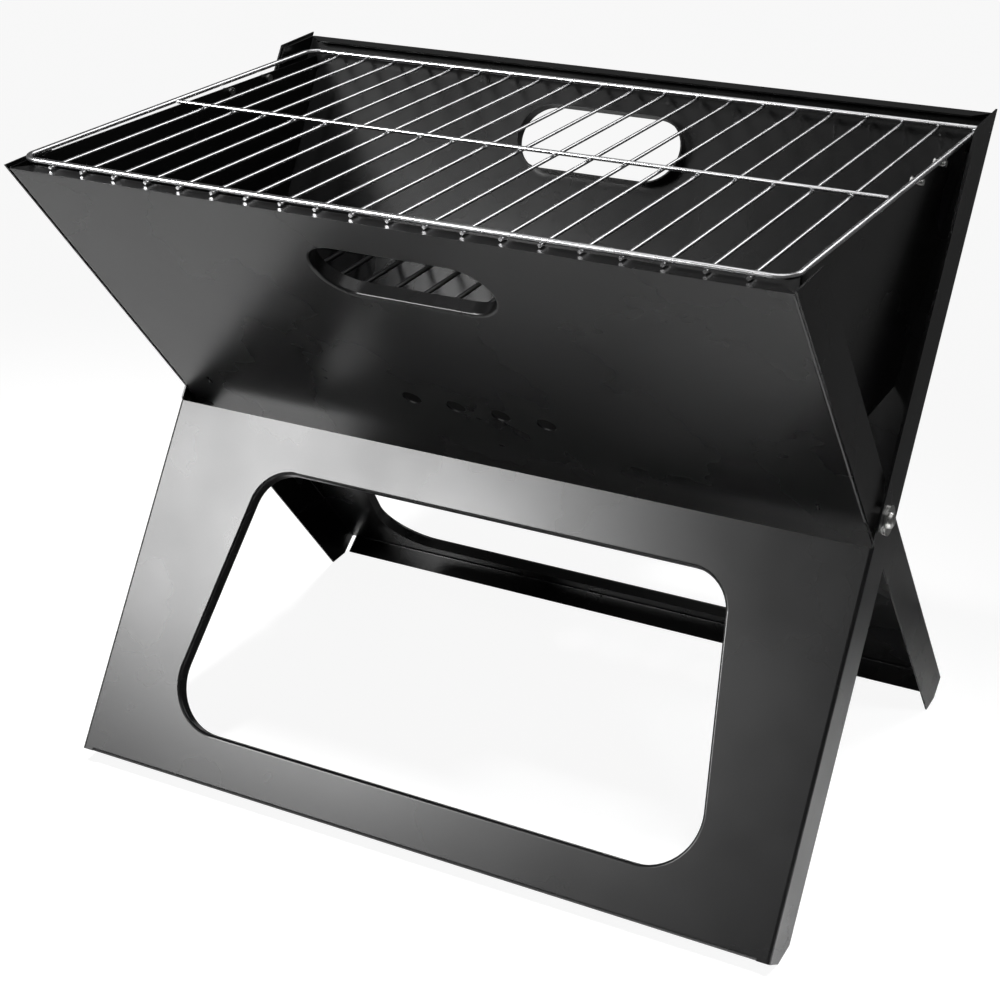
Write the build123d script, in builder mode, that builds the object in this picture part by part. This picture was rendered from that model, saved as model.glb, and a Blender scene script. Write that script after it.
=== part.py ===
"""Folding camp grill: two crossing sheet-steel frames that open to a V trough, with loose
end plates, charcoal rack, ash tray and cooking grate. Millimetres, +Z up, floor at Z = 0."""
from build123d import *
from math import cos, degrees, atan2, radians, sin
import os

os.makedirs("parts", exist_ok=True)

# ---- frames -------------------------------------------------------------------------
ALPHA = 54.0            # slope of both frames above the floor, open
C, S = cos(radians(ALPHA)), sin(radians(ALPHA))
HALF_DEPTH = 15.0       # half of a frame's 30 mm depth
SHEET = 1.0             # sheet thickness
BEND_R = 2.0            # outside radius of every bend
ARM = 236.0             # pivot to the wall's top edge
LEG = 242.0             # pivot to the fold at the foot
FOOT_N = -1.2           # where the foot's flat begins, across the frame
FOOT_FLAT = 17.0        # length of the foot's flat
PIVOT_Z = LEG * S - FOOT_N * C
LEG_TOP = -18.5         # top edge of a leg sheet
RAIL_RISE = 2.0         # rail ends stand this far above the wall's lip
FLANGE_START = 22.0     # wall flanges begin here, clear of the pivot
TAIL_END = -13.0        # where a wall bends in to the trough's bottom seam
SEAM_GAP = 0.4          # gap between the two walls' bottom edges, open
TAIL_HALF = 220.4       # half-width of a wall below its flanges
LIP = 10.0              # width of the walls' top lips
FOOT_LIP = 14.5         # depth of the fold along a leg's bottom edge
FOOT_LIP_HALF = 217.5   # half-width of that fold
OUTER_HALF = 225.0      # outside of the outer frame's rails
OUTER_WALL_HALF = 223.95
INNER_HALF = 222.0      # outside of the inner frame's rails
INNER_WALL_HALF = 220.95
FREE_EDGE = 13.6        # inner frame's rails stop short here, to nest in the outer frame
TOP_Z = ARM * S - HALF_DEPTH * C
RAIL_TOP_Z = TOP_Z + RAIL_RISE

# ---- openings in the sheets ----------------------------------------------------------
WINDOW_TOP, WINDOW_BOTTOM = -48.8, -212.0
WINDOW_TOP_HALF, WINDOW_BOTTOM_HALF = 151.3, 175.5
WINDOW_R_TOP, WINDOW_R_BOTTOM = 25.0, 32.0
WINDOW_RIM = 8.0        # depth of the rim turned in round a leg window
SLOT_LONG, SLOT_TALL = 106.0, 40.5
SLOT_T = 187.5          # handle slot's centre above the pivot, along the wall
SLOT_RIM = 8.5
PATTERN_X = -2.4        # handle slot and vents sit this far off the wall's middle
VENT_X = (-42.6, -14.2, 14.2, 42.6)
VENT_T, VENT_R = 61.0, 6.0
TAB_X, TAB_T = 195.5, 30.0
TAB_SLOT_WIDE, TAB_SLOT_TALL = 2.0, 7.0

# ---- pivots ---------------------------------------------------------------------------
RIVET_R = 3.0
RIVET_RUNNING = 0.05
WASHER_R = 8.5
RIVET_HEAD_R = 4.8
RIVET_HEAD_H = 2.6
OUTER_WASHER = (225.0, 226.2)
SPACER_WASHER = (222.3, 223.98)
INNER_WASHER = (219.7, 220.7)

# ---- loose pieces (heights above the pivot) --------------------------------------------
PLATE_BOTTOM_X, PLATE_LEAN = 206.5, 3.84    # the end plates lean outward
PLATE_THICK = 1.0
PLATE_BOTTOM = 53.0
PLATE_TOP_DROP = (1.5, 3.6)     # its top edge lies this far under the grate, front and back
PLATE_GAP = 0.5         # plate edge to wall, square to the wall
PLATE_FRONT_Y, PLATE_BACK_Y = -128.0, 139.0
PIN_R = 1.75
PIN_Y = (42.0, 82.0)
PIN_END = 218.4
PIN_PLATE_X = 213.8     # plate's middle at the height of its pins
PIN_CLEAR = 0.3
PIN_HEAD_R, PIN_HEAD_H = 2.5, 1.0

GRATE_FRONT_Y, GRATE_BACK_Y = -144.0, 137.4
GRATE_FRONT_Z, GRATE_BACK_Z = TOP_Z + 4.0, TOP_Z - 5.6
RIM_WIRE_R, MIDDLE_R, BAR_R = 1.5, 1.2, 1.0
BAR_COUNT, BAR_PITCH = 20, 20.7
SIDE_X = 217.0
WELD = 0.02             # wires lie this close where they are welded
BAR_OVERHANG_FRONT, BAR_OVERHANG_BACK = 1.2, 1.2
RIM_START = 24.0        # the bent rim wire begins this far behind the front
MIDDLE_AT = 136.0
RIM_CORNER = 10.0

RACK_Z = 76.0
RACK_HALF_X, RACK_HALF_Y = 198.0, 69.4
RACK_RIM_R, RACK_ROD_R = 2.0, 1.5
RACK_ROD_COUNT, RACK_ROD_PITCH = 19, 20.7
RACK_ROD_HALF = 72.5

TRAY_BOTTOM, TRAY_TOP = 3.5, 15.0
TRAY_BOTTOM_HALF, TRAY_TOP_HALF = 15.0, 25.5
TRAY_SHEET = 0.8
TRAY_HALF_X = 196.0
TRAY_EAR = (13.9, 16.0, 30.3)   # bottom, top and reach of the ears


def frame_plane(back):
    """Local axes of a frame: X across, Y up the arm, Z square to it."""
    if back:
        return Plane(origin=(0, 0, PIVOT_Z), x_dir=(1, 0, 0), z_dir=(0, -S, C))
    return Plane(origin=(0, 0, PIVOT_Z), x_dir=(-1, 0, 0), z_dir=(0, S, C))


def side_plane(frame, x):
    """Plane of a rail at X = x: its X runs up the arm and its Y square to the frame."""
    return Plane(origin=frame.from_local_coords((x, 0, 0)), x_dir=frame.y_dir, z_dir=frame.x_dir)


def cross_plane(frame, t):
    """Plane across a frame at t along the arm, looking down the arm."""
    return Plane(origin=frame.from_local_coords((0, t, 0)), x_dir=frame.x_dir, z_dir=-frame.y_dir)


def sheet_plane(frame, n):
    """Plane parallel to a frame's sheets at n across it."""
    return Plane(origin=frame.from_local_coords((0, 0, n)), x_dir=frame.x_dir, z_dir=frame.z_dir)


def arm_at(height, n):
    """Distance along the arm of the point at this height above the pivot."""
    return (height - n * C) / S


def window_outline(grow):
    """Leg window, a rounded trapezium, grown by this much all round."""
    with BuildSketch() as outline:
        with BuildLine():
            FilletPolyline(
                (-WINDOW_BOTTOM_HALF - grow, WINDOW_BOTTOM - grow),
                (WINDOW_BOTTOM_HALF + grow, WINDOW_BOTTOM - grow),
                (WINDOW_TOP_HALF + grow, WINDOW_TOP + grow),
                (-WINDOW_TOP_HALF - grow, WINDOW_TOP + grow),
                radius=(
                    WINDOW_R_BOTTOM + grow,
                    WINDOW_R_BOTTOM + grow,
                    WINDOW_R_TOP + grow,
                    WINDOW_R_TOP + grow,
                ),
                close=True,
            )
        make_face()
    return outline.sketch


def slot_outline(grow):
    """Handle slot, grown by this much all round."""
    with BuildSketch() as outline:
        with Locations((PATTERN_X, SLOT_T)):
            SlotOverall(SLOT_LONG + 2 * grow, SLOT_TALL + 2 * grow)
    return outline.sketch


def on_sheet(frame, n, sketch):
    """A flat outline laid on a plane parallel to the frame's sheets."""
    return sheet_plane(frame, n) * sketch


def channel(frame, t, half, closed_side, free_edge):
    """Cross-section of a pan: a sheet on one side of the frame with a flange at each end."""
    with BuildSketch(cross_plane(frame, t)) as section:
        with BuildLine():
            FilletPolyline(
                (-half, free_edge),
                (-half, closed_side),
                (half, closed_side),
                (half, free_edge),
                radius=BEND_R,
            )
            inner = closed_side - SHEET if closed_side > 0 else closed_side + SHEET
            FilletPolyline(
                (half - SHEET, free_edge),
                (half - SHEET, inner),
                (SHEET - half, inner),
                (SHEET - half, free_edge),
                radius=BEND_R - SHEET,
            )
            Line((half, free_edge), (half - SHEET, free_edge))
            Line((SHEET - half, free_edge), (-half, free_edge))
        make_face()
    return section.sketch


def rail_outline(frame, x, free_edge):
    """The flat rail above a leg sheet: up the arm to a level cut, then down the other edge."""
    with BuildSketch(side_plane(frame, x)) as outline:
        with BuildLine():
            Polyline(
                (LEG_TOP, -free_edge),
                (LEG_TOP + 2, -HALF_DEPTH),
                (arm_at(RAIL_TOP_Z, -HALF_DEPTH), -HALF_DEPTH),
                (arm_at(RAIL_TOP_Z, free_edge), free_edge),
                (LEG_TOP + 2, free_edge),
                (LEG_TOP, HALF_DEPTH - BEND_R),
                close=True,
            )
        make_face()
    return outline.sketch


def foot_waste(frame):
    """Everything below the foot's flat, cut from a pan."""
    with BuildSketch(side_plane(frame, -OUTER_HALF - 5)) as waste:
        with BuildLine():
            Polyline(
                (-LEG, FOOT_N),
                (arm_at(-PIVOT_Z, -HALF_DEPTH - 1), -HALF_DEPTH - 1),
                (-LEG - 5, -HALF_DEPTH - 1),
                (-LEG - 5, FOOT_N),
                close=True,
            )
        make_face()
    return waste.sketch


def foot_fold(frame):
    """Section of the fold along a leg's bottom edge."""
    with BuildSketch(side_plane(frame, -FOOT_LIP_HALF)) as section:
        with BuildLine():
            FilletPolyline(
                (FOOT_FOLD, HALF_DEPTH),
                (-LEG, HALF_DEPTH),
                (-LEG, HALF_DEPTH - FOOT_LIP),
                radius=BEND_R,
            )
            FilletPolyline(
                (FOOT_FOLD, HALF_DEPTH - SHEET),
                (SHEET - LEG, HALF_DEPTH - SHEET),
                (SHEET - LEG, HALF_DEPTH - FOOT_LIP),
                radius=BEND_R - SHEET,
            )
            Line((FOOT_FOLD, HALF_DEPTH), (FOOT_FOLD, HALF_DEPTH - SHEET))
            Line((-LEG, HALF_DEPTH - FOOT_LIP), (SHEET - LEG, HALF_DEPTH - FOOT_LIP))
        make_face()
    return section.sketch


def fold_relief(frame):
    """Where a leg sheet gives way to the fold along its bottom edge."""
    return sheet_plane(frame, HALF_DEPTH) * Location((0, FOOT_FOLD - RELIEF / 2, 0))


def wall_tail(frame):
    """Section of a wall from its flanges down past the pivot to the trough's bottom seam."""
    seam_z = TAIL_END * S - HALF_DEPTH * C
    seam_y = SEAM_GAP / 2
    end = (seam_y * C + seam_z * S, -seam_y * S + seam_z * C)
    up = SHEET * S, SHEET * C
    with BuildSketch(side_plane(frame, -TAIL_HALF)) as section:
        with BuildLine():
            Polyline(
                (FLANGE_START, -HALF_DEPTH),
                (TAIL_END, -HALF_DEPTH),
                end,
                (end[0] + up[0], end[1] + up[1]),
                (TAIL_END + up[0] + (SHEET - up[1]) * 0.6, SHEET - HALF_DEPTH),
                (FLANGE_START, SHEET - HALF_DEPTH),
                close=True,
            )
        make_face()
    return section.sketch


def wall_lip(frame, half):
    """The level lip along a wall's top edge, mitred at both ends, seen from above."""
    y = frame.from_local_coords((0, ARM, -HALF_DEPTH)).Y
    inward = -1 if y > 0 else 1
    with BuildSketch(Plane.XY.offset(PIVOT_Z + TOP_Z - SHEET)) as outline:
        with BuildLine():
            Polyline(
                (-half + 0.6, y + inward * SHEET * 0.7),
                (half - 0.6, y + inward * SHEET * 0.7),
                (half - LIP, y + inward * LIP),
                (LIP - half, y + inward * LIP),
                close=True,
            )
        make_face()
    return outline.sketch


def above_lip(frame, height):
    """Everything above a level plane, cut from a pan's flanges."""
    y = frame.from_local_coords((0, ARM, 0)).Y
    block = Box(2 * OUTER_HALF + 10, 120, 40, mode=Mode.PRIVATE)
    return Location((0, y, PIVOT_Z + height + 20)) * block


def vent_places(frame):
    """Centres of a wall's vents."""
    return [sheet_plane(frame, -HALF_DEPTH) * Location((PATTERN_X + x, VENT_T, 0)) for x in VENT_X]


def rim_edges(piece, frame, n, low, high, half):
    """Edges of an opening on a sheet's outer face: inside these limits, in the frame's own axes."""
    chosen = []
    for edge in piece.edges():
        box = [frame.to_local_coords(edge.position_at(at)) for at in (0, 0.25, 0.5, 0.75, 1)]
        level = all(abs(p.Z - n) < 0.01 for p in box)
        inside = all(low < p.Y < high and abs(p.X) < half for p in box)
        if level and inside:
            chosen.append(edge)
    return chosen


FOOT_FOLD = -LEG + 4.0
RELIEF = 5.0
RIM_R = 1.7             # outside radius of the rolled rims

outer = frame_plane(True)
inner = frame_plane(False)

# ---- outer frame ------------------------------------------------------------------------
with BuildPart() as front_leg_panel:
    extrude(channel(outer, LEG_TOP, OUTER_HALF, HALF_DEPTH, -HALF_DEPTH), amount=LEG_TOP + LEG)
    for x in (-OUTER_HALF, OUTER_HALF - SHEET):
        extrude(rail_outline(outer, x, HALF_DEPTH), amount=SHEET)
    with Locations(fold_relief(outer)):
        Box(2 * FOOT_LIP_HALF, RELIEF, RELIEF, mode=Mode.SUBTRACT)
    extrude(foot_fold(outer), amount=2 * FOOT_LIP_HALF)
    extrude(foot_waste(outer), amount=2 * OUTER_HALF + 10, mode=Mode.SUBTRACT)
    extrude(on_sheet(outer, HALF_DEPTH - WINDOW_RIM, window_outline(SHEET)), amount=WINDOW_RIM - SHEET / 2)
    extrude(
        on_sheet(outer, HALF_DEPTH - WINDOW_RIM - 1, window_outline(0)),
        amount=WINDOW_RIM + 2,
        mode=Mode.SUBTRACT,
    )
    fillet(rim_edges(front_leg_panel, outer, HALF_DEPTH, WINDOW_BOTTOM - 2, WINDOW_TOP + 2, 180), RIM_R)
    with Locations(side_plane(outer, 0)):
        Cylinder(RIVET_R, 2 * OUTER_HALF + 10, mode=Mode.SUBTRACT)

with BuildPart() as rear_wall_panel:
    extrude(
        channel(outer, ARM, OUTER_WALL_HALF, -HALF_DEPTH, HALF_DEPTH - 1.5),
        amount=ARM - FLANGE_START,
    )
    add(above_lip(outer, TOP_Z), mode=Mode.SUBTRACT)
    extrude(wall_lip(outer, OUTER_WALL_HALF), amount=SHEET)
    extrude(wall_tail(outer), amount=2 * TAIL_HALF)
    extrude(on_sheet(outer, SHEET / 2 - HALF_DEPTH, slot_outline(SHEET)), amount=SLOT_RIM - SHEET / 2)
    extrude(on_sheet(outer, -HALF_DEPTH - 1, slot_outline(0)), amount=SLOT_RIM + 2, mode=Mode.SUBTRACT)
    fillet(rim_edges(rear_wall_panel, outer, -HALF_DEPTH, 160, 215, 60), RIM_R)
    with Locations(vent_places(outer)):
        Cylinder(VENT_R, 6, mode=Mode.SUBTRACT)
    with Locations([sheet_plane(outer, -HALF_DEPTH) * Location((x, TAB_T, 0)) for x in (-TAB_X, TAB_X)]):
        Box(TAB_SLOT_WIDE, TAB_SLOT_TALL, 6, mode=Mode.SUBTRACT)

# ---- inner frame ------------------------------------------------------------------------
with BuildPart() as rear_leg_panel:
    extrude(channel(inner, LEG_TOP, INNER_HALF, HALF_DEPTH, -FREE_EDGE), amount=LEG_TOP + LEG)
    for x in (-INNER_HALF, INNER_HALF - SHEET):
        extrude(rail_outline(inner, x, FREE_EDGE), amount=SHEET)
    with Locations(fold_relief(inner)):
        Box(2 * FOOT_LIP_HALF, RELIEF, RELIEF, mode=Mode.SUBTRACT)
    extrude(foot_fold(inner), amount=2 * FOOT_LIP_HALF)
    extrude(foot_waste(inner), amount=2 * OUTER_HALF + 10, mode=Mode.SUBTRACT)
    extrude(on_sheet(inner, HALF_DEPTH - WINDOW_RIM, window_outline(SHEET)), amount=WINDOW_RIM - SHEET / 2)
    extrude(
        on_sheet(inner, HALF_DEPTH - WINDOW_RIM - 1, window_outline(0)),
        amount=WINDOW_RIM + 2,
        mode=Mode.SUBTRACT,
    )
    fillet(rim_edges(rear_leg_panel, inner, HALF_DEPTH, WINDOW_BOTTOM - 2, WINDOW_TOP + 2, 180), RIM_R)
    with Locations(side_plane(inner, 0)):
        Cylinder(RIVET_R + RIVET_RUNNING, 2 * OUTER_HALF + 10, mode=Mode.SUBTRACT)

with BuildPart() as front_wall_panel:
    extrude(
        channel(inner, ARM, INNER_WALL_HALF, -HALF_DEPTH, FREE_EDGE - 0.1),
        amount=ARM - FLANGE_START,
    )
    add(above_lip(inner, TOP_Z), mode=Mode.SUBTRACT)
    extrude(wall_lip(inner, INNER_WALL_HALF), amount=SHEET)
    extrude(wall_tail(inner), amount=2 * TAIL_HALF)
    extrude(on_sheet(inner, SHEET / 2 - HALF_DEPTH, slot_outline(SHEET)), amount=SLOT_RIM - SHEET / 2)
    extrude(on_sheet(inner, -HALF_DEPTH - 1, slot_outline(0)), amount=SLOT_RIM + 2, mode=Mode.SUBTRACT)
    fillet(rim_edges(front_wall_panel, inner, -HALF_DEPTH, 160, 215, 60), RIM_R)
    with Locations(vent_places(inner)):
        Cylinder(VENT_R, 6, mode=Mode.SUBTRACT)
    with Locations([sheet_plane(inner, -HALF_DEPTH) * Location((x, TAB_T, 0)) for x in (-TAB_X, TAB_X)]):
        Box(TAB_SLOT_WIDE, TAB_SLOT_TALL, 6, mode=Mode.SUBTRACT)


# ---- pivots -----------------------------------------------------------------------------
def turned(profile_points, side):
    """Half-section of a piece turned on the pivot axis; points are (radius, X)."""
    with BuildSketch(Plane.XZ) as profile:
        with BuildLine():
            Polyline(*[(side * x, PIVOT_Z + r) for r, x in profile_points], close=True)
        make_face()
    return profile.sketch


def washer(span, side):
    """A flat washer on the rivet between two X positions."""
    bore = RIVET_R + WELD
    points = ((bore, span[0]), (WASHER_R, span[0]), (WASHER_R, span[1]), (bore, span[1]))
    return turned(points, side)


def rivet(side):
    """Rivet with a domed head at each end of its shank."""
    low, high = INNER_WASHER[0], OUTER_WASHER[1]
    shank = RIVET_R - WELD
    points = (
        (0, low - RIVET_HEAD_H),
        (RIVET_HEAD_R * 0.55, low - RIVET_HEAD_H * 0.92),
        (RIVET_HEAD_R * 0.88, low - RIVET_HEAD_H * 0.6),
        (RIVET_HEAD_R, low - WELD),
        (shank, low - WELD),
        (shank, high + WELD),
        (RIVET_HEAD_R, high + WELD),
        (RIVET_HEAD_R * 0.88, high + RIVET_HEAD_H * 0.6),
        (RIVET_HEAD_R * 0.55, high + RIVET_HEAD_H * 0.92),
        (0, high + RIVET_HEAD_H),
    )
    return turned(points, side)


PIVOT_AXIS = Axis((0, 0, PIVOT_Z), (1, 0, 0))

with BuildPart() as pivot_rivet_left:
    revolve(rivet(-1), PIVOT_AXIS)

with BuildPart() as pivot_rivet_right:
    revolve(rivet(1), PIVOT_AXIS)

with BuildPart() as outer_pivot_washer_left:
    revolve(washer(OUTER_WASHER, -1), PIVOT_AXIS)

with BuildPart() as outer_pivot_washer_right:
    revolve(washer(OUTER_WASHER, 1), PIVOT_AXIS)

with BuildPart() as spacer_washer_left:
    revolve(washer(SPACER_WASHER, -1), PIVOT_AXIS)

with BuildPart() as spacer_washer_right:
    revolve(washer(SPACER_WASHER, 1), PIVOT_AXIS)

with BuildPart() as inner_pivot_washer_left:
    revolve(washer(INNER_WASHER, -1), PIVOT_AXIS)

with BuildPart() as inner_pivot_washer_right:
    revolve(washer(INNER_WASHER, 1), PIVOT_AXIS)


# ---- end plates and their pins ------------------------------------------------------------
def wall_y(height, gap):
    """Half the trough's width at this height above the pivot, less a gap square to the wall."""
    n = SHEET - HALF_DEPTH
    return arm_at(height, n) * C - n * S - gap / S


GRATE_TILT = atan2(GRATE_FRONT_Z - GRATE_BACK_Z, GRATE_BACK_Y - GRATE_FRONT_Y)
grate_plane = Plane(
    origin=(0, GRATE_FRONT_Y, PIVOT_Z + GRATE_FRONT_Z),
    x_dir=(1, 0, 0),
    z_dir=(0, sin(GRATE_TILT), cos(GRATE_TILT)),
)
SPAN = (GRATE_BACK_Y - GRATE_FRONT_Y) / cos(GRATE_TILT)
SIDE_FALL = 2 * RIM_WIRE_R + 2 * WELD   # the side wire runs down to pass under the rim's end


def grate_point(x, along, z):
    """A point given in the grate's own tilted plane."""
    return grate_plane.from_local_coords((x, along, z))


def wire_z(y):
    """Height of the grate's rim wire above the pivot."""
    return GRATE_FRONT_Z - (y - GRATE_FRONT_Y) * sin(GRATE_TILT) / cos(GRATE_TILT)


def pin_z(y):
    """Height of a pin just under the grate's side wire."""
    fall = SIDE_FALL * (y - GRATE_FRONT_Y - RIM_START) / (SPAN - RIM_START)
    return PIVOT_Z + wire_z(y) - fall - RIM_WIRE_R - PIN_CLEAR - PIN_R


def plate_outline(side):
    """End plate: it wedges between the two walls; its top corners clear the walls' lips."""
    lean = radians(PLATE_LEAN)
    plane = Plane(
        origin=(side * PLATE_BOTTOM_X, 0, PIVOT_Z + PLATE_BOTTOM),
        x_dir=(0, 1, 0),
        z_dir=(cos(lean), 0, -side * sin(lean)),
    )
    bottom = wall_y(PLATE_BOTTOM, PLATE_GAP)
    front_corner = (-PLATE_FRONT_Y - bottom) * S / C
    back_corner = (PLATE_BACK_Y - bottom) * S / C
    front_top = wire_z(PLATE_FRONT_Y) - PLATE_TOP_DROP[0] - PLATE_BOTTOM
    back_top = wire_z(PLATE_BACK_Y) - PLATE_TOP_DROP[1] - PLATE_BOTTOM
    with BuildSketch(plane) as outline:
        with BuildLine():
            Polyline(
                (-bottom, 0),
                (bottom, 0),
                (PLATE_BACK_Y, back_corner / cos(lean)),
                (PLATE_BACK_Y, back_top / cos(lean)),
                (PLATE_FRONT_Y, front_top / cos(lean)),
                (PLATE_FRONT_Y, front_corner / cos(lean)),
                close=True,
            )
        make_face()
        fillet(outline.vertices(), radius=1.5)
    return outline.sketch


def pin_places(x):
    """Where the two pins of one end plate sit."""
    return [Location((x, y, pin_z(y)), (0, 90, 0)) for y in PIN_Y]


with BuildPart() as end_plate_left:
    extrude(plate_outline(-1), amount=PLATE_THICK / 2, both=True)
    with Locations(pin_places(-PIN_PLATE_X)):
        Cylinder(PIN_R + 2 * WELD, 6, mode=Mode.SUBTRACT)

with BuildPart() as end_plate_right:
    extrude(plate_outline(1), amount=PLATE_THICK / 2, both=True)
    with Locations(pin_places(PIN_PLATE_X)):
        Cylinder(PIN_R + 2 * WELD, 6, mode=Mode.SUBTRACT)

PIN_INSIDE = PIN_PLATE_X - 1.2          # the head's flat, just clear of the leaning plate

with BuildPart() as end_plate_pins_left:
    with Locations(pin_places(-(PIN_INSIDE + PIN_END) / 2)):
        Cylinder(PIN_R, PIN_END - PIN_INSIDE)
    with Locations(pin_places(-(PIN_INSIDE - PIN_HEAD_H / 2))):
        Cylinder(PIN_HEAD_R, PIN_HEAD_H)

with BuildPart() as end_plate_pins_right:
    with Locations(pin_places((PIN_INSIDE + PIN_END) / 2)):
        Cylinder(PIN_R, PIN_END - PIN_INSIDE)
    with Locations(pin_places(PIN_INSIDE - PIN_HEAD_H / 2)):
        Cylinder(PIN_HEAD_R, PIN_HEAD_H)

# ---- cooking grate ------------------------------------------------------------------------
with BuildPart() as grate_rim_wire:
    with BuildLine(grate_plane) as rim_path:
        FilletPolyline(
            (SIDE_X, RIM_START),
            (SIDE_X, 0),
            (-SIDE_X, 0),
            (-SIDE_X, SPAN),
            (SIDE_X + RIM_WIRE_R, SPAN),
            radius=RIM_CORNER,
        )
    with BuildSketch(Plane(origin=rim_path.line @ 0, z_dir=rim_path.line % 0)):
        Circle(RIM_WIRE_R)
    sweep(path=rim_path.line)

with BuildPart() as grate_side_wire:
    with BuildLine() as side_path:
        Line(
            grate_point(SIDE_X, RIM_START + WELD, 0),
            grate_point(SIDE_X, SPAN + RIM_WIRE_R * 0.8, -SIDE_FALL),
        )
    with BuildSketch(Plane(origin=side_path.line @ 0, z_dir=side_path.line % 0)):
        Circle(RIM_WIRE_R)
    sweep(path=side_path.line)

MIDDLE_LONG = 2 * (SIDE_X - RIM_WIRE_R - WELD)

with BuildPart() as grate_middle_wire:
    with Locations(grate_plane * Location((0, MIDDLE_AT, MIDDLE_R - RIM_WIRE_R), (0, 90, 0))):
        Cylinder(MIDDLE_R, MIDDLE_LONG)

BAR_LONG = SPAN + BAR_OVERHANG_FRONT + BAR_OVERHANG_BACK
BAR_MIDDLE = (SPAN + BAR_OVERHANG_BACK - BAR_OVERHANG_FRONT) / 2
BAR_DROP = RIM_WIRE_R + BAR_R + WELD

with BuildPart() as grate_bars:
    for i in range(BAR_COUNT):
        bar_x = (i - (BAR_COUNT - 1) / 2) * BAR_PITCH
        with Locations(grate_plane * Location((bar_x, BAR_MIDDLE, -BAR_DROP), (90, 0, 0))):
            Cylinder(BAR_R, BAR_LONG)

# ---- charcoal rack --------------------------------------------------------------------------
with BuildPart() as rack_rim:
    with BuildLine(Plane.XY.offset(PIVOT_Z + RACK_Z)) as rack_path:
        FilletPolyline(
            (-RACK_HALF_X, -RACK_HALF_Y),
            (RACK_HALF_X, -RACK_HALF_Y),
            (RACK_HALF_X, RACK_HALF_Y),
            (-RACK_HALF_X, RACK_HALF_Y),
            radius=8.0,
            close=True,
        )
    with BuildSketch(Plane(origin=rack_path.line @ 0, z_dir=rack_path.line % 0)):
        Circle(RACK_RIM_R)
    sweep(path=rack_path.line)

with BuildPart() as rack_rods:
    for i in range(RACK_ROD_COUNT):
        rod_x = (i - (RACK_ROD_COUNT - 1) / 2) * RACK_ROD_PITCH
        rod_z = PIVOT_Z + RACK_Z + RACK_RIM_R + RACK_ROD_R + WELD
        with Locations(Location((rod_x, 0, rod_z), (90, 0, 0))):
            Cylinder(RACK_ROD_R, 2 * RACK_ROD_HALF)

# ---- ash tray -------------------------------------------------------------------------------
with BuildPart() as ash_tray:
    with BuildSketch(Plane(origin=(-TRAY_HALF_X, 0, PIVOT_Z), x_dir=(0, 1, 0), z_dir=(1, 0, 0))):
        with BuildLine():
            Polyline(
                (-TRAY_TOP_HALF, TRAY_TOP),
                (-TRAY_BOTTOM_HALF, TRAY_BOTTOM),
                (TRAY_BOTTOM_HALF, TRAY_BOTTOM),
                (TRAY_TOP_HALF, TRAY_TOP),
                (TRAY_TOP_HALF - 1.1, TRAY_TOP),
                (TRAY_BOTTOM_HALF - 0.3, TRAY_BOTTOM + TRAY_SHEET),
                (0.3 - TRAY_BOTTOM_HALF, TRAY_BOTTOM + TRAY_SHEET),
                (1.1 - TRAY_TOP_HALF, TRAY_TOP),
                close=True,
            )
        make_face()
    extrude(amount=2 * TRAY_HALF_X)
    for x in (-TRAY_HALF_X, TRAY_HALF_X - 1.0):
        with BuildSketch(Plane(origin=(x, 0, PIVOT_Z), x_dir=(0, 1, 0), z_dir=(1, 0, 0))):
            with BuildLine():
                Polyline(
                    (-TRAY_TOP_HALF, TRAY_EAR[0]),
                    (-TRAY_BOTTOM_HALF, TRAY_BOTTOM),
                    (TRAY_BOTTOM_HALF, TRAY_BOTTOM),
                    (TRAY_TOP_HALF, TRAY_EAR[0]),
                    (TRAY_EAR[2], TRAY_EAR[0]),
                    (TRAY_EAR[2], TRAY_EAR[1]),
                    (-TRAY_EAR[2], TRAY_EAR[1]),
                    (-TRAY_EAR[2], TRAY_EAR[0]),
                    close=True,
                )
            make_face()
        extrude(amount=1.0)

# ---- names and files ------------------------------------------------------------------------
PIECES = {
    "front_leg_panel": front_leg_panel,
    "rear_wall_panel": rear_wall_panel,
    "rear_leg_panel": rear_leg_panel,
    "front_wall_panel": front_wall_panel,
    "pivot_rivet_left": pivot_rivet_left,
    "pivot_rivet_right": pivot_rivet_right,
    "outer_pivot_washer_left": outer_pivot_washer_left,
    "outer_pivot_washer_right": outer_pivot_washer_right,
    "spacer_washer_left": spacer_washer_left,
    "spacer_washer_right": spacer_washer_right,
    "inner_pivot_washer_left": inner_pivot_washer_left,
    "inner_pivot_washer_right": inner_pivot_washer_right,
    "end_plate_left": end_plate_left,
    "end_plate_right": end_plate_right,
    "end_plate_pins_left": end_plate_pins_left,
    "end_plate_pins_right": end_plate_pins_right,
    "grate_rim_wire": grate_rim_wire,
    "grate_side_wire": grate_side_wire,
    "grate_middle_wire": grate_middle_wire,
    "grate_bars": grate_bars,
    "rack_rim": rack_rim,
    "rack_rods": rack_rods,
    "ash_tray": ash_tray,
}
for name, piece in PIECES.items():
    piece.part.label = name
    export_step(piece.part, f"parts/{name}.step")
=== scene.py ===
"""Looks of the folding camp grill: enamelled sheet steel, plated wire, a pale studio."""
import math

import bpy
from mathutils import Matrix, Vector

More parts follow.
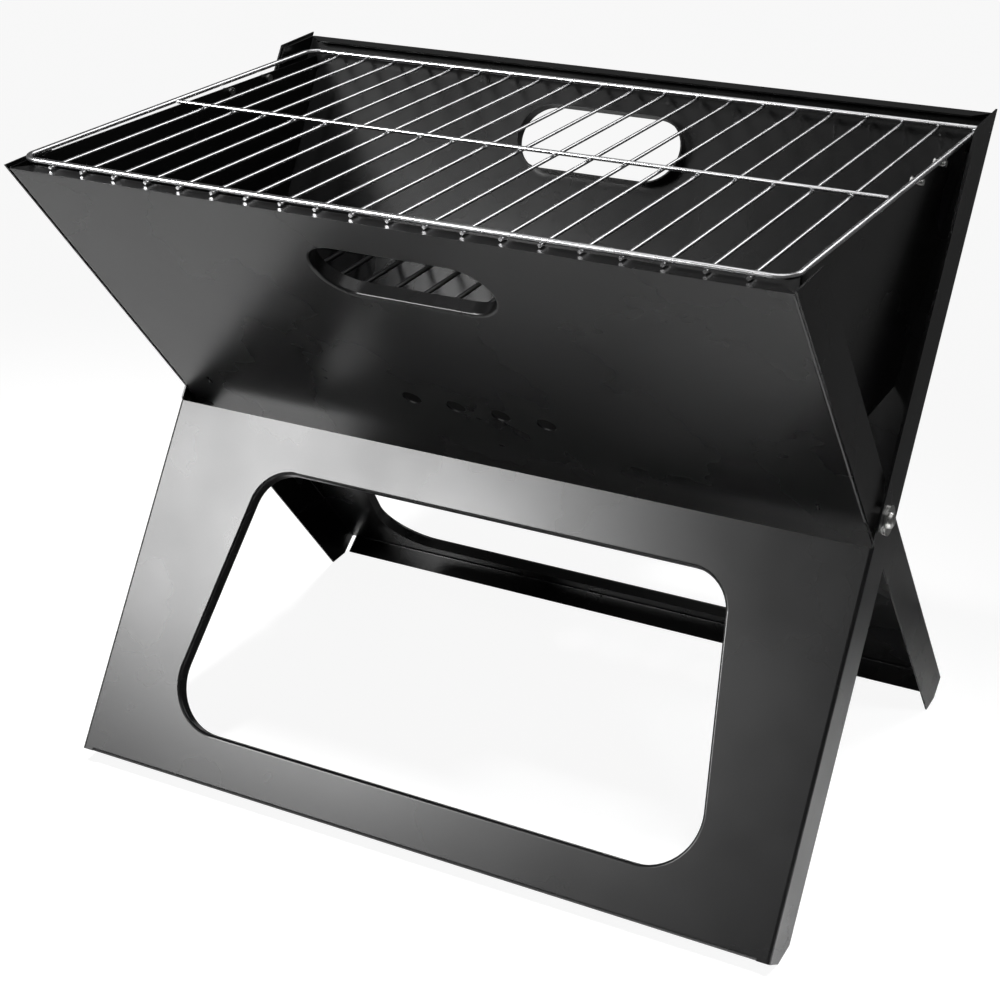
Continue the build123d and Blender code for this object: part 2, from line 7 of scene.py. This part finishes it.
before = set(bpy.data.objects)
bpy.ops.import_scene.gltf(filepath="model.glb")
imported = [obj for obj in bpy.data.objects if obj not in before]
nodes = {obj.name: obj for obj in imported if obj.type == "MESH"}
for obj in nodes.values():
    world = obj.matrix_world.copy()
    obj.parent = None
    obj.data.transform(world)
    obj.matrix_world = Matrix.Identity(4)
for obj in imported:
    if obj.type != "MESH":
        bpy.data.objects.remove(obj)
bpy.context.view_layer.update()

# ---- studio sizes, in metres ---------------------------------------------------------------
FLOOR_SIZE = 14
SEEN_FLOOR_Z, MIRRORED_FLOOR_Z = -0.0006, -0.0010
KEY_AT, KEY_AIM, KEY_SIZE = (-1.22, -1.49, 1.32), (-0.05, -0.05, 0.15), (0.76, 0.60)
GRATE_MIDDLE = (0, 0, 0.38)


# ---- materials -----------------------------------------------------------------------------
def new_material(name):
    """An empty node material and its shader."""
    m = bpy.data.materials.new(name)
    m.use_nodes = True
    tree = m.node_tree
    shader = tree.nodes["Principled BSDF"]
    return m, tree, shader


def noise(tree, coords, scale, detail=2.0, rough=0.5):
    """A noise texture on the piece's own coordinates."""
    n = tree.nodes.new("ShaderNodeTexNoise")
    n.inputs["Scale"].default_value = scale
    n.inputs["Detail"].default_value = detail
    n.inputs["Roughness"].default_value = rough
    tree.links.new(coords.outputs["Object"], n.inputs["Vector"])
    return n


def remap(tree, source, low, high, from_low=0.3, from_high=0.7):
    """A texture's value brought to the range that a socket needs."""
    r = tree.nodes.new("ShaderNodeMapRange")
    r.inputs["From Min"].default_value = from_low
    r.inputs["From Max"].default_value = from_high
    r.inputs["To Min"].default_value = low
    r.inputs["To Max"].default_value = high
    tree.links.new(source, r.inputs["Value"])
    return r


def bump(tree, shader, layers):
    """Stacks bumps given as (height socket, distance, strength) and feeds the shader."""
    last = None
    for height, distance, strength in layers:
        b = tree.nodes.new("ShaderNodeBump")
        b.inputs["Distance"].default_value = distance
        b.inputs["Strength"].default_value = strength
        tree.links.new(height, b.inputs["Height"])
        if last is not None:
            tree.links.new(last.outputs["Normal"], b.inputs["Normal"])
        last = b
    tree.links.new(last.outputs["Normal"], shader.inputs["Normal"])


def enamel(name, rough_low, rough_high, tint):
    """Black enamel on sheet: fine orange peel, faint dust and uneven gloss."""
    m, tree, shader = new_material(name)
    coords = tree.nodes.new("ShaderNodeTexCoord")
    cloud = noise(tree, coords, 9.0, 4.0, 0.55)
    rough = remap(tree, cloud.outputs["Fac"], rough_low, rough_high)
    tree.links.new(rough.outputs["Result"], shader.inputs["Roughness"])
    specks = noise(tree, coords, 900.0, 2.0, 0.6)
    ramp = tree.nodes.new("ShaderNodeValToRGB")
    ramp.color_ramp.elements[0].position = 0.62
    ramp.color_ramp.elements[0].color = (tint, tint, tint * 1.03, 1)
    ramp.color_ramp.elements[1].position = 0.80
    ramp.color_ramp.elements[1].color = (tint * 2.2, tint * 2.2, tint * 2.2, 1)
    tree.links.new(specks.outputs["Fac"], ramp.inputs["Fac"])
    tree.links.new(ramp.outputs["Color"], shader.inputs["Base Color"])
    shader.inputs["IOR"].default_value = 1.5
    peel = noise(tree, coords, 420.0, 3.0, 0.5)
    wave = noise(tree, coords, 7.0, 1.0, 0.4)
    bump(tree, shader, [(wave.outputs["Fac"], 0.0004, 0.3), (peel.outputs["Fac"], 0.00004, 0.2)])
    return m


def plated(name, color, rough_low, rough_high, drawn=600.0):
    """Bright plated wire: drawing marks along it and slightly uneven gloss."""
    m, tree, shader = new_material(name)
    coords = tree.nodes.new("ShaderNodeTexCoord")
    cloud = noise(tree, coords, 60.0, 3.0, 0.5)
    rough = remap(tree, cloud.outputs["Fac"], rough_low, rough_high)
    tree.links.new(rough.outputs["Result"], shader.inputs["Roughness"])
    stain = noise(tree, coords, 35.0, 4.0, 0.6)
    ramp = tree.nodes.new("ShaderNodeValToRGB")
    ramp.color_ramp.elements[0].position = 0.35
    ramp.color_ramp.elements[0].color = tuple(c * 0.86 for c in color) + (1,)
    ramp.color_ramp.elements[1].position = 0.65
    ramp.color_ramp.elements[1].color = tuple(color) + (1,)
    tree.links.new(stain.outputs["Fac"], ramp.inputs["Fac"])
    tree.links.new(ramp.outputs["Color"], shader.inputs["Base Color"])
    shader.inputs["Metallic"].default_value = 1.0
    marks = noise(tree, coords, drawn, 2.0, 0.5)
    bump(tree, shader, [(marks.outputs["Fac"], 0.00002, 0.3)])
    return m


black = enamel("black_enamel", 0.24, 0.31, 0.006)
chrome = plated("chromed_wire", (0.88, 0.88, 0.89), 0.22, 0.32)
dull_wire = plated("rack_wire", (0.10, 0.10, 0.10), 0.34, 0.46)
zinc = plated("zinc_plated_steel", (0.72, 0.72, 0.70), 0.22, 0.34)
# Near-black plated sheet for the ash tray: painted shade, so the trough seen through the vents reads dark.
galvanised_painted_shade = plated("galvanised_sheet", (0.04, 0.04, 0.04), 0.34, 0.48)

BY_PREFIX = (
    ("front_leg", black),
    ("rear_wall", black),
    ("rear_leg", black),
    ("front_wall", black),
    ("end_plate_pins", zinc),
    ("end_plate", black),
    ("grate", chrome),
    ("rack", dull_wire),
    ("ash_tray", galvanised_painted_shade),
    ("pivot_rivet", zinc),
    ("outer_pivot", zinc),
    ("inner_pivot", zinc),
    ("spacer", zinc),
)


def dress(obj, material):
    """Gives a piece one material."""
    obj.data.materials.clear()
    obj.data.materials.append(material)
    for polygon in obj.data.polygons:
        polygon.material_index = 0


for name, obj in nodes.items():
    for prefix, material in BY_PREFIX:
        if name.startswith(prefix):
            dress(obj, material)
            break

# ---- studio --------------------------------------------------------------------------------
scene = bpy.context.scene
scene.view_settings.view_transform = "Standard"

world = bpy.data.worlds.new("studio")
scene.world = world
world.use_nodes = True
wt = world.node_tree
background = wt.nodes["Background"]
path = wt.nodes.new("ShaderNodeLightPath")
level = wt.nodes.new("ShaderNodeMapRange")
level.inputs["To Min"].default_value = 0.08
level.inputs["To Max"].default_value = 1.0
wt.links.new(path.outputs["Is Camera Ray"], level.inputs["Value"])
wt.links.new(level.outputs["Result"], background.inputs["Strength"])
background.inputs["Color"].default_value = (1, 1, 1, 1)


def area_light(name, at, target, size, power):
    """A rectangular softbox at a point, facing another; it is only seen mirrored in the pieces."""
    data = bpy.data.lights.new(name, "AREA")
    data.shape = "RECTANGLE"
    data.size, data.size_y = size
    data.energy = power
    obj = bpy.data.objects.new(name, data)
    scene.collection.objects.link(obj)
    obj.location = at
    aim = Vector(target) - Vector(at)
    obj.rotation_euler = aim.to_track_quat("-Z", "Y").to_euler()
    obj.visible_camera = False
    obj.visible_diffuse = False
    return obj


area_light("key", KEY_AT, KEY_AIM, KEY_SIZE, 36)
area_light("back", (0.80, 1.76, 1.50), GRATE_MIDDLE, (1.3, 0.9), 9)
area_light("top", (0.1, 0.0, 2.4), GRATE_MIDDLE, (2.0, 2.0), 15)


def floor_pool(name, at, target, power, angle):
    """A soft-edged spot on the floor, for the enamel to mirror."""
    data = bpy.data.lights.new(name, "SPOT")
    data.energy = power
    data.spot_size = math.radians(angle)
    data.spot_blend = 0.8
    data.shadow_soft_size = 0.12
    obj = bpy.data.objects.new(name, data)
    scene.collection.objects.link(obj)
    obj.location = at
    obj.rotation_euler = (Vector(target) - Vector(at)).to_track_quat("-Z", "Y").to_euler()
    obj.visible_glossy = False
    return obj


floor_pool("pool_left", (-0.30, -0.45, 2.2), (-0.25, -0.28, 0), 180, 42)
floor_pool("pool_right", (0.50, -0.35, 1.3), (0.37, -0.13, 0), 75, 26)
floor_pool("pool_leg", (0.62, -0.05, 0.45), (0.18, 0.10, 0), 15, 15)


def paper(name, height, color, glow):
    """A sheet of floor paper at a height, in a grey that may glow a little."""
    bpy.ops.mesh.primitive_grid_add(
        x_subdivisions=4, y_subdivisions=4, size=FLOOR_SIZE, location=(0, 0, height)
    )
    sheet = bpy.context.object
    sheet.name = name
    m, tree, shader = new_material(name)
    shader.inputs["Base Color"].default_value = (color, color, color, 1)
    shader.inputs["Roughness"].default_value = 0.95
    shader.inputs["Specular IOR Level"].default_value = 0.0
    shader.inputs["Emission Color"].default_value = (1, 1, 1, 1)
    shader.inputs["Emission Strength"].default_value = glow
    grain = noise(tree, tree.nodes.new("ShaderNodeTexCoord"), 300.0, 2.0, 0.5)
    bump(tree, shader, [(grain.outputs["Fac"], 0.0001, 0.1)])
    sheet.data.materials.append(m)
    return sheet


# The camera sees an evenly lit sheet; the enamel mirrors one lit by the softbox alone.
seen_floor = paper("floor", SEEN_FLOOR_Z, 0.20, 0.92)
seen_floor.visible_glossy = False
seen_floor.visible_diffuse = False
seen_floor.visible_shadow = False
mirrored_floor = paper("floor_reflection", MIRRORED_FLOOR_Z, 0.93, 0.0)
mirrored_floor.visible_camera = False

# ---- camera --------------------------------------------------------------------------------
AZIMUTH, ELEVATION, ROLL = math.radians(28.90), math.radians(27.32), math.radians(-1.62)
forward = Vector(
    (-math.sin(AZIMUTH) * math.cos(ELEVATION), math.cos(AZIMUTH) * math.cos(ELEVATION), -math.sin(ELEVATION))
)
right = forward.cross(Vector((0, 0, 1))).normalized()
up = right.cross(forward)
right, up = (
    right * math.cos(ROLL) + up * math.sin(ROLL),
    up * math.cos(ROLL) - right * math.sin(ROLL),
)
camera_data = bpy.data.cameras.new("camera")
camera_data.sensor_width = 36.0
camera_data.lens = 70.93
camera_data.clip_start = 0.01
camera = bpy.data.objects.new("camera", camera_data)
scene.collection.objects.link(camera)
camera.matrix_world = Matrix.Translation((0.4926, -0.9136, 0.6952)) @ Matrix(
    (right, up, -forward)
).transposed().to_4x4()
scene.camera = camera
